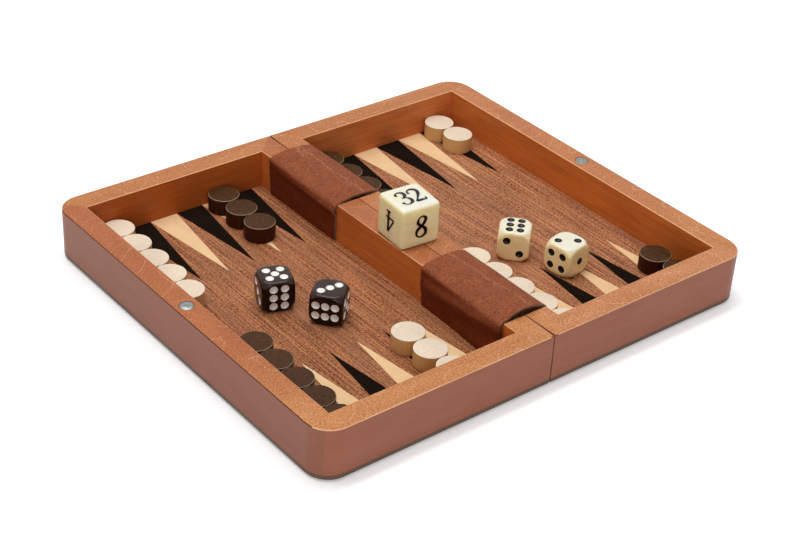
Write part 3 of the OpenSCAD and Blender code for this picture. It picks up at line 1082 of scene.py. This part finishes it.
@dataclass
class StrapHinge:
    """The two leather straps that arch over the fold and hang down inside both trays."""

    layout: Layout
    thickness: float = 1.0 * MM
    clear: float = 0.15 * MM
    rise: float = 2.4 * MM
    bend: float = 2.5 * MM
    dip: float = 2.0 * MM
    drapes: dict[str, Drape] = field(default_factory=lambda: {
        "back_strap": Drape(rise=(-0.3, -0.5, -0.6), lip=(1.5, 0.9, 0.0), lip_depth=(4.2, 4.2, 4.2),
                            lip_above=2.6, lip_below=0.9, slip=1.5),
        "front_strap": Drape(rise=(1.1, 0.3, -0.4), lip=(1.2, 1.7, 0.5), lip_depth=(3.8, 6.4, 10.0),
                             lip_above=3.6, lip_below=3.0, slip=2.0, foot=(2.6, 0.8, 0.0))})
    foot_power: float = 1.5
    blend_x: float = 12 * MM
    across: int = 29
    arch_steps: int = 14
    turn_steps: int = 8
    drop_steps: int = 30
    wave: float = 0.15 * MM
    wave_across: float = 9.0
    wave_along: float = 0.35
    fray: float = 0.125 * MM
    fray_along: float = 0.9
    seed: int = 5
    smooth_deg: float = 50.0

    def build(self) -> None:
        """Builds both straps, each arched across the fold."""
        for name, drape in self.drapes.items():
            piece = self.strap(name, drape)
            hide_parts(name)
            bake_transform(piece)
            LOG.info("%s bends between the trays", piece.name)

    def centre_line(self) -> list[tuple[Vector, Vector]]:
        """Outer face of a strap from the left foot to the right foot.

        Returns:
            Pairs of a point and its outward direction, in x and z.
        """
        def arc(x: float, z: float, radius: float, start: float, stop: float, steps: int) -> None:
            for i in range(1, steps + 1):
                a = start + (stop - start) * i / steps
                right.append((Vector((x + radius * math.sin(a), 0, z + radius * math.cos(a))),
                              Vector((math.sin(a), 0, math.cos(a)))))

        at = self.layout
        face_x = at.hinge_wall_x + self.clear + self.thickness
        bend_x = face_x - self.bend
        bend_z = at.rim - self.dip
        rise = self.rise + self.dip
        arch_r = (rise ** 2 + bend_x ** 2 - self.bend ** 2) / (2 * (rise - self.bend))
        turn = math.asin(bend_x / (arch_r - self.bend))
        right = [(Vector((0, 0, at.rim + self.rise)), Vector((0, 0, 1)))]
        arc(0.0, at.rim + self.rise - arch_r, arch_r, 0.0, turn, self.arch_steps)
        arc(bend_x, bend_z, self.bend, turn, math.pi / 2, self.turn_steps)
        drop = bend_z - at.floor_top
        for i in range(1, self.drop_steps + 1):
            right.append((Vector((face_x, 0, bend_z - drop * i / self.drop_steps)), Vector((1, 0, 0))))
        left = [(Vector((-p.x, 0, p.z)), Vector((-n.x, 0, n.z))) for p, n in reversed(right[1:])]
        return left + right

    def draped(self, drape: Drape, point: Vector, outward: Vector, v: float) -> Vector:
        """Moves a point of the plain strap to where use has bent it.

        Args:
            drape: How the strap is bent.
            point: The plain point.
            outward: Direction away from the wood there.
            v: Place along the fold, 0 at the front end and 1 at the back end.

        Returns:
            The moved point.
        """
        def along(ends: Triple) -> float:
            front, middle, back = ends
            return MM * (front * (2 * v - 1) * (v - 1) + middle * 4 * v * (1 - v) + back * v * (2 * v - 1))

        depth = self.layout.rim - point.z
        hump = along(drape.rise) * max(0.0, 1 - (point.x / self.layout.hinge_wall_x) ** 2)
        stand = slip = 0.0
        if point.x < 0:
            past = depth - along(drape.lip_depth)
            reach = MM * (drape.lip_above if past < 0 else drape.lip_below)
            down = max(depth, 0.0) / (self.layout.rim - self.layout.floor_top)
            stand = along(drape.lip) * math.exp(-(past / reach) ** 2)
            stand += along(drape.foot) * down ** self.foot_power
            slip = MM * drape.slip * v ** 2 * down
        return point + outward * stand + Vector((0, -slip, hump))

    def strap(self, name: str, drape: Drape) -> Piece:
        """Builds one strap.

        Args:
            name: Frame node that it replaces.
            drape: How use has bent it.

        Returns:
            The new piece.
        """
        low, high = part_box(name)
        rng = random.Random(self.seed + len(name))
        phases = [rng.uniform(0, math.tau) for _ in range(3)]
        line = self.centre_line()
        shape = bmesh.new()
        grid = {}
        for j in range(self.across + 1):
            v = j / self.across
            side = (j == self.across) - (j == 0)
            for i, (point, outward) in enumerate(line):
                ripple = (self.wave * math.sin(phases[0] + self.wave_across * v)
                          * math.sin(phases[1] + i * self.wave_along))
                edge = side * self.fray * math.sin(phases[2] + i * self.fray_along)
                y = low.y + (high.y - low.y) * v + edge
                outer = self.draped(drape, point, outward, v) + outward * max(0.0, ripple) + Vector((0, y, 0))
                grid[0, i, j] = shape.verts.new(outer)
                grid[1, i, j] = shape.verts.new(outer - outward * self.thickness)
        last = len(line) - 1
        for i in range(last):
            for j in range(self.across):
                for face in (0, 1):
                    shape.faces.new((grid[face, i, j], grid[face, i + 1, j], grid[face, i + 1, j + 1],
                                     grid[face, i, j + 1]))
        cut = [((i, j), (i + 1, j)) for i in range(last) for j in (0, self.across)]
        cut += [((i, j), (i, j + 1)) for j in range(self.across) for i in (0, last)]
        for a, b in cut:
            strip = shape.faces.new([grid[(face, *p)] for face, p in ((0, a), (0, b), (1, b), (1, a))])
            strip.material_index = 1
        return mesh_object(f"{name}_leather", shape, [LEATHER, LEATHER_EDGE], self.smooth_deg)


@dataclass
class CheckerSet:
    """Fifteen light and fifteen dark checkers, standing where play starts."""

    count: int = 15
    edge: float = 0.5 * MM
    floor_clear: float = 0.02 * MM
    edge_steps: int = 6
    turns: int = 64
    smooth_deg: float = 60.0

    def build(self) -> None:
        """Builds every checker."""
        for slot, finish in (("light_checker", BOXWOOD), ("dark_checker", DARK_TURNED)):
            for i in range(1, self.count + 1):
                self.checker(f"{slot}_{i:02d}", slot, finish)

    def checker(self, name: str, slot: str, finish: Finish) -> None:
        """Builds one checker.

        Args:
            name: Frame node that it replaces, and the body that it rides on.
            slot: Material slot of the record.
            finish: Its finish.
        """
        foot, r, h = round_node(name)
        foot.z += self.floor_clear
        h -= self.floor_clear
        e = self.edge
        quarter = [math.pi / 2 * i / self.edge_steps for i in range(self.edge_steps + 1)]
        profile = [(0, 0), *((r - e + e * math.sin(a), e - e * math.cos(a)) for a in quarter),
                   *((r - e + e * math.cos(a), h - e + e * math.sin(a)) for a in quarter), (0, h)]
        disc = lathe(profile, Matrix.Translation(foot), self.turns)
        seat(mesh_object(f"{name}_disc", disc, [finish], self.smooth_deg), name, slot, name)


def face_turn(turn_deg: float, tip_deg: float) -> Matrix:
    """Takes a block's top to another side: tipped to the front, then turned about the upright axis."""
    return Matrix.Rotation(math.radians(turn_deg), 4, "Z") @ Matrix.Rotation(math.radians(tip_deg), 4, "X")


# Top, front, right, bottom, back and left
FACE_TURNS = [face_turn(*angles) for angles in ((0, 0), (0, 90), (90, 90), (0, 180), (180, 90), (-90, 90))]
# What the pips on opposite sides of a die add up to
OPPOSITE_SUM = 7


def cast_block(node: str, yaw_deg: float, finishes: list[Finish], smooth_deg: float, ball: float = math.inf
               ) -> tuple[Piece, Matrix, float]:
    """Builds the rounded block that stands in for a die or cube.

    Args:
        node: Frame node, which gives its place and its size.
        yaw_deg: Its turn about the upright axis.
        finishes: Its finishes.
        smooth_deg: Edges sharper than this stay crisp.
        ball: Radius of the ball that takes off its corners.

    Returns:
        The block, its place and direction, and half its width.
    """
    low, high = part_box(node)
    half = (high.z - low.z) / 2
    place = Matrix.Translation((low + high) / 2) @ Matrix.Rotation(math.radians(yaw_deg), 4, "Z")
    shape = rounded_block(half, ball)
    shape.transform(place)
    return mesh_object(f"{node}_resin", shape, finishes, smooth_deg), place, half


@dataclass
class Die:
    """A rounded die whose pips are dimples in its faces.

    Its faces are the values on top, in front and on the right; turned lists the sides, by their number in
    FACE_TURNS, whose pattern is turned a quarter.
    """

    node: str
    yaw_deg: float
    faces: tuple[int, int, int]
    turned: tuple[int, ...]
    slot: str
    resin: Finish
    paint: Finish
    pip_d: float
    corner: float = 3.35 * MM
    long: float = 4.5 * MM
    short: float = 2.65 * MM
    pip_depth: float = 0.9 * MM
    pip_turns: int = 40
    pip_rings: int = 7
    ball: float = 11.4 * MM
    smooth_deg: float = 32.0

    def build(self) -> None:
        """Builds the die, cuts its pips and seats it on its own body."""
        looks = [self.resin, self.paint]
        piece, place, half = cast_block(self.node, self.yaw_deg, looks, self.smooth_deg, self.ball)
        drills = bmesh.new()
        profile = self.drill()
        values = [*self.faces, *(OPPOSITE_SUM - value for value in self.faces)]
        for number, value in enumerate(values):
            for u, v in self.pips(value, number in self.turned):
                at = place @ FACE_TURNS[number] @ Matrix.Translation((u, v, half))
                lathe(profile, at, self.pip_turns, drills)
        for face in drills.faces:
            face.material_index = 1
        carve(piece, mesh_object(f"{self.node}_drills", drills, looks), self.smooth_deg)
        seat(piece, self.node, self.slot, self.node)

    def drill(self) -> Outline:
        """Profile of the round-nosed drill that sinks a pip.

        Returns:
            Radius and height pairs, with the die's face at height 0.
        """
        r, d, shank = self.pip_d / 2, self.pip_depth, self.pip_d / 4
        ball = (r ** 2 + d ** 2) / (2 * d)
        reach = math.asin(r / ball)
        nose = [(ball * math.sin(a), ball - d - ball * math.cos(a))
                for a in (reach * i / self.pip_rings for i in range(self.pip_rings + 1))]
        return [*nose, (r, shank), (0, shank)]

    def pips(self, value: int, turned: bool) -> Outline:
        """Pip places on a face.

        Args:
            value: Number of pips.
            turned: Whether the pattern is turned a quarter.

        Returns:
            Places in the face's own u and v.
        """
        c, a, b = self.corner, self.long, self.short
        places = [(0.0, 0.0)] if value % 2 else []
        if value in (2, 3):
            places += [(s * c, -s * c if turned else s * c) for s in (-1, 1)]
        if value in (4, 5):
            places += [(s * c, t * c) for s in (-1, 1) for t in (-1, 1)]
        if value == 6:
            places += [(t * a, s * b) if turned else (s * b, t * a) for s in (-1, 1) for t in (-1, 0, 1)]
        return places


@dataclass
class DoublingCube:
    """The doubling cube; its labels give each side's numeral, with its turn in degrees."""

    node: str = "doubling_cube"
    yaw_deg: float = -4.5
    smooth_deg: float = 50.0
    digit_h: float = 11.0 * MM
    digit_pitch: float = 0.62
    digit_smooth_deg: float = 30.0
    stroke_steps: int = 8
    ink: float = 0.03 * MM
    ink_foot: float = -0.1 * MM
    labels: dict[int, tuple[str, float]] = field(default_factory=lambda: {
        0: ("32", 0.0), 1: ("8", 0.0), 5: ("4", 180.0), 2: ("16", 90.0), 3: ("2", 0.0), 4: ("64", 180.0)})

    def build(self) -> None:
        """Builds the cube and inks its six faces."""
        cube, place, half = cast_block(self.node, self.yaw_deg, [CUBE_RESIN], self.smooth_deg)
        seat(cube, self.node, "ivory_resin", self.node)
        marks = bmesh.new()
        for number, (text, spin) in self.labels.items():
            lift = Matrix.Translation((0, 0, half)) @ Matrix.Rotation(math.radians(spin), 4, "Z")
            self.write(marks, text, place @ FACE_TURNS[number] @ lift)
        numerals = mesh_object(f"{self.node}_numerals", marks, [BLACK_ENAMEL], self.digit_smooth_deg)
        seat(numerals, self.node, "ivory_resin")

    def write(self, shape: Shape, text: str, at: Matrix) -> None:
        """Adds one face's numeral to a shape.

        Args:
            shape: Shape that collects the strokes.
            text: One or two digits.
            at: Place and direction of the face's centre.
        """
        for k, digit in enumerate(text):
            shift = (k - (len(text) - 1) / 2) * self.digit_pitch * self.digit_h
            for stroke in DIGITS[digit]:
                self.ribbon(shape, stroke, at @ Matrix.Translation((shift, 0, 0)))

    def ribbon(self, shape: Shape, stroke: Stroke, at: Matrix) -> None:
        """Adds one brush stroke as a thin raised ribbon.

        Args:
            shape: Shape that collects the strokes.
            stroke: Points across and up in digit heights, each with the stroke's width there.
            at: Place and direction of the digit's centre.
        """
        line = smooth_line(stroke, self.stroke_steps)
        rings = []
        for i, (x, y, w) in enumerate(line):
            before = line[max(i - 1, 0)]
            after = line[min(i + 1, len(line) - 1)]
            run = Vector((after[0] - before[0], after[1] - before[1]))
            side = Vector((-run.y, run.x)).normalized() * (w / 2)
            corners = ((-1, self.ink), (1, self.ink), (1, self.ink_foot), (-1, self.ink_foot))
            rings.append([shape.verts.new(at @ Vector(((x + s * side.x) * self.digit_h,
                                                       (y + s * side.y) * self.digit_h, z)))
                          for s, z in corners])
        skin(shape, rings)


def smooth_line(points: Stroke, steps: int) -> Stroke:
    """Runs a smooth line through points.

    Args:
        points: Points across and up, each with the stroke's width there.
        steps: Steps between two points.

    Returns:
        The points of the smooth line; a straight stroke keeps its two.
    """
    if len(points) == 2:
        return points
    padded = [points[0], *points, points[-1]]
    line = []
    for spread in zip(padded, padded[1:], padded[2:], padded[3:]):
        for t in (k / steps for k in range(steps)):
            line.append(tuple(0.5 * (2 * b + (c - a) * t + (2 * a - 5 * b + 4 * c - d) * t * t
                                     + (3 * b - a - 3 * c + d) * t ** 3) for a, b, c, d in zip(*spread)))
    return [*line, points[-1]]


# Brush strokes of each digit: points across and up from its middle and the width there, in digit heights
THIN = 0.088
BOLD = 0.16
DIGITS: dict[str, list[Stroke]] = {
    "1": [[(-0.14, 0.36, THIN), (0.02, 0.5, BOLD)], [(0.02, 0.5, BOLD), (0.02, -0.48, BOLD)],
          [(-0.14, -0.48, THIN), (0.18, -0.48, THIN)]],
    "2": [[(-0.2, 0.22, BOLD), (-0.22, 0.36, THIN), (-0.1, 0.48, THIN), (0.1, 0.48, BOLD), (0.22, 0.32, BOLD),
           (0.16, 0.08, BOLD), (-0.04, -0.2, THIN), (-0.24, -0.46, THIN)],
          [(-0.24, -0.45, BOLD), (0.05, -0.44, BOLD), (0.24, -0.46, THIN), (0.27, -0.3, THIN)]],
    "3": [[(-0.21, 0.26, BOLD), (-0.16, 0.42, THIN), (0.0, 0.5, THIN), (0.17, 0.42, BOLD), (0.18, 0.2, BOLD),
           (0.04, 0.05, THIN), (-0.06, 0.03, THIN)],
          [(-0.06, 0.03, THIN), (0.12, 0.0, THIN), (0.24, -0.16, BOLD), (0.2, -0.38, BOLD), (0.0, -0.5, THIN),
           (-0.16, -0.45, THIN), (-0.24, -0.28, BOLD)]],
    "4": [[(0.1, 0.5, THIN), (-0.3, -0.18, THIN)], [(-0.3, -0.18, THIN), (0.28, -0.18, THIN)],
          [(0.1, 0.5, BOLD), (0.1, -0.48, BOLD)], [(-0.06, -0.48, THIN), (0.26, -0.48, THIN)]],
    "6": [[(0.2, 0.38, BOLD), (0.08, 0.5, THIN), (-0.1, 0.42, THIN), (-0.24, 0.12, BOLD), (-0.24, -0.2, BOLD),
           (-0.12, -0.46, THIN), (0.08, -0.5, THIN), (0.24, -0.34, BOLD), (0.24, -0.12, BOLD),
           (0.08, 0.05, THIN), (-0.1, 0.02, THIN), (-0.22, -0.14, THIN)]],
    "8": [[(0.0, 0.04, THIN), (-0.18, 0.2, BOLD), (-0.14, 0.42, THIN), (0.04, 0.5, THIN), (0.2, 0.38, BOLD),
           (0.14, 0.16, BOLD), (-0.04, 0.0, BOLD), (-0.22, -0.18, BOLD), (-0.2, -0.4, THIN),
           (0.0, -0.5, THIN), (0.22, -0.38, BOLD), (0.2, -0.14, BOLD), (0.0, 0.04, THIN)]],
}


@dataclass
class View:
    """Camera at the photograph's viewing angle."""

    azimuth_deg: float = -40.40
    elevation_deg: float = 32.60
    roll_deg: float = 3.56
    lens_mm: float = 75.94
    sensor_mm: float = 36.0
    distance: float = 829.8 * MM
    look_at: Triple = (5.40 * MM, 0.56 * MM, 0.0)

    def build(self) -> None:
        """Creates the camera and makes it the scene's camera."""
        a, e, r = (math.radians(v) for v in (self.azimuth_deg, self.elevation_deg, self.roll_deg))
        back = Vector((math.sin(a) * math.cos(e), -math.cos(a) * math.cos(e), math.sin(e)))
        right = Vector((math.cos(a), math.sin(a), 0))
        up = back.cross(right)
        rolled_right = right * math.cos(r) + up * math.sin(r)
        rolled_up = up * math.cos(r) - right * math.sin(r)
        data = bpy.data.cameras.new("camera")
        data.lens = self.lens_mm
        data.sensor_width = self.sensor_mm
        camera = put_in_scene("camera", data)
        turn = Matrix((rolled_right, rolled_up, back)).transposed().to_4x4()
        camera.matrix_world = Matrix.Translation(Vector(self.look_at) + back * self.distance) @ turn
        bpy.context.scene.camera = camera


@dataclass(frozen=True)
class Lamp:
    """One soft lamp that faces the box: its place and its two sides in metres, and its power in watts."""

    name: str
    place: Triple
    width: float
    depth: float
    power: float

    def build(self) -> None:
        """Hangs the lamp."""
        data = bpy.data.lights.new(self.name, "AREA")
        data.shape = "RECTANGLE"
        data.size = self.width
        data.size_y = self.depth
        data.energy = self.power
        lamp = put_in_scene(self.name, data)
        lamp.location = self.place
        lamp.rotation_euler = (-Vector(self.place)).to_track_quat("-Z", "Y").to_euler()


@dataclass
class Studio:
    """Pale floor, pale surroundings and soft lamps."""

    floor_size: float = 6.0
    floor_colour: str = "#f0f0f0"
    floor_lift: float = 0.3
    fill: float = 0.22
    lamps: tuple[Lamp, ...] = (
        Lamp("overhead", place=(-0.05, 0.15, 1.1), width=1.1, depth=1.1, power=9.8),
        Lamp("strip", place=(0.0, 0.1, 1.05), width=0.9, depth=0.1, power=3.2),
        Lamp("front", place=(-0.95, -1.38, 0.5), width=0.8, depth=0.8, power=6.8))

    def build(self) -> None:
        """Builds the floor, the surroundings and the lamps."""
        self.floor()
        self.surroundings()
        for lamp in self.lamps:
            lamp.build()

    def floor(self) -> None:
        """Lays a plain floor that the camera sees as white apart from the shadow."""
        shape = bmesh.new()
        bmesh.ops.create_grid(shape, x_segments=1, y_segments=1, size=self.floor_size / 2)
        mesh = bpy.data.meshes.new("studio_floor")
        shape.to_mesh(mesh)
        shape.free()
        material = bpy.data.materials.new("studio floor")
        tree = empty_tree(material)
        matt = add_node(tree, "ShaderNodeBsdfDiffuse", {"Color": linear(self.floor_colour)})
        lift = add_node(tree, "ShaderNodeMath", {0: self.seen(tree), 1: self.floor_lift},
                        operation="MULTIPLY")
        glow = add_node(tree, "ShaderNodeEmission", {"Strength": lift.outputs[0]})
        both = add_node(tree, "ShaderNodeAddShader", {0: matt.outputs[0], 1: glow.outputs[0]})
        add_node(tree, "ShaderNodeOutputMaterial", {"Surface": both.outputs[0]})
        mesh.materials.append(material)
        put_in_scene("studio_floor", mesh)

    def seen(self, tree: Tree) -> Socket:
        """Tells rays that show the background from rays that carry light.

        Args:
            tree: Node tree that gets the nodes.

        Returns:
            A socket that is 1 for camera, glossy and transmission rays and 0 for others.
        """
        rays = add_node(tree, "ShaderNodeLightPath").outputs
        seen = rays["Is Camera Ray"]
        for kind in ("Is Glossy Ray", "Is Transmission Ray"):
            seen = add_node(tree, "ShaderNodeMath", {0: seen, 1: rays[kind]}, operation="MAXIMUM").outputs[0]
        return seen

    def surroundings(self) -> None:
        """Lights the scene evenly from all round; the camera and gloss see white."""
        world = bpy.data.worlds.new("studio")
        bpy.context.scene.world = world
        tree = empty_tree(world)
        level = add_node(tree, "ShaderNodeMapRange", {0: self.seen(tree), 3: self.fill, 4: 1.0})
        sky = add_node(tree, "ShaderNodeBackground", {"Color": (1, 1, 1, 1), "Strength": level.outputs[0]})
        add_node(tree, "ShaderNodeOutputWorld", {"Surface": sky.outputs[0]})


def main() -> None:
    """Builds the camera, the studio and every sub-assembly of the set, in order."""
    logging.basicConfig(level=logging.INFO, format="%(name)s: %(message)s")
    bpy.context.scene.view_settings.view_transform = "Standard"
    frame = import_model()
    View().build()
    Studio().build()
    layout = Layout.from_frame()
    for tray in Tray:
        TrayHalf(tray, layout, frame["nodes"]).build()
    StrapHinge(layout).build()
    CheckerSet().build()
    brown = {"slot": "brown_resin", "resin": BROWN_RESIN, "paint": WHITE_ENAMEL, "pip_d": 3.9 * MM}
    ivory = {"slot": "ivory_resin", "resin": IVORY_RESIN, "paint": BLACK_ENAMEL, "pip_d": 3.8 * MM}
    for die in (Die("brown_die_1", yaw_deg=-19.7, faces=(5, 6, 4), turned=(5,), **brown),
                Die("brown_die_2", yaw_deg=-51.1, faces=(3, 6, 5), turned=(1,), **brown),
                Die("ivory_die_1", yaw_deg=-46.3, faces=(6, 2, 3), turned=(1,), **ivory),
                Die("ivory_die_2", yaw_deg=-80.5, faces=(2, 4, 1), turned=(), **ivory)):
        die.build()
    DoublingCube().build()


if __name__ == "__main__":
    main()
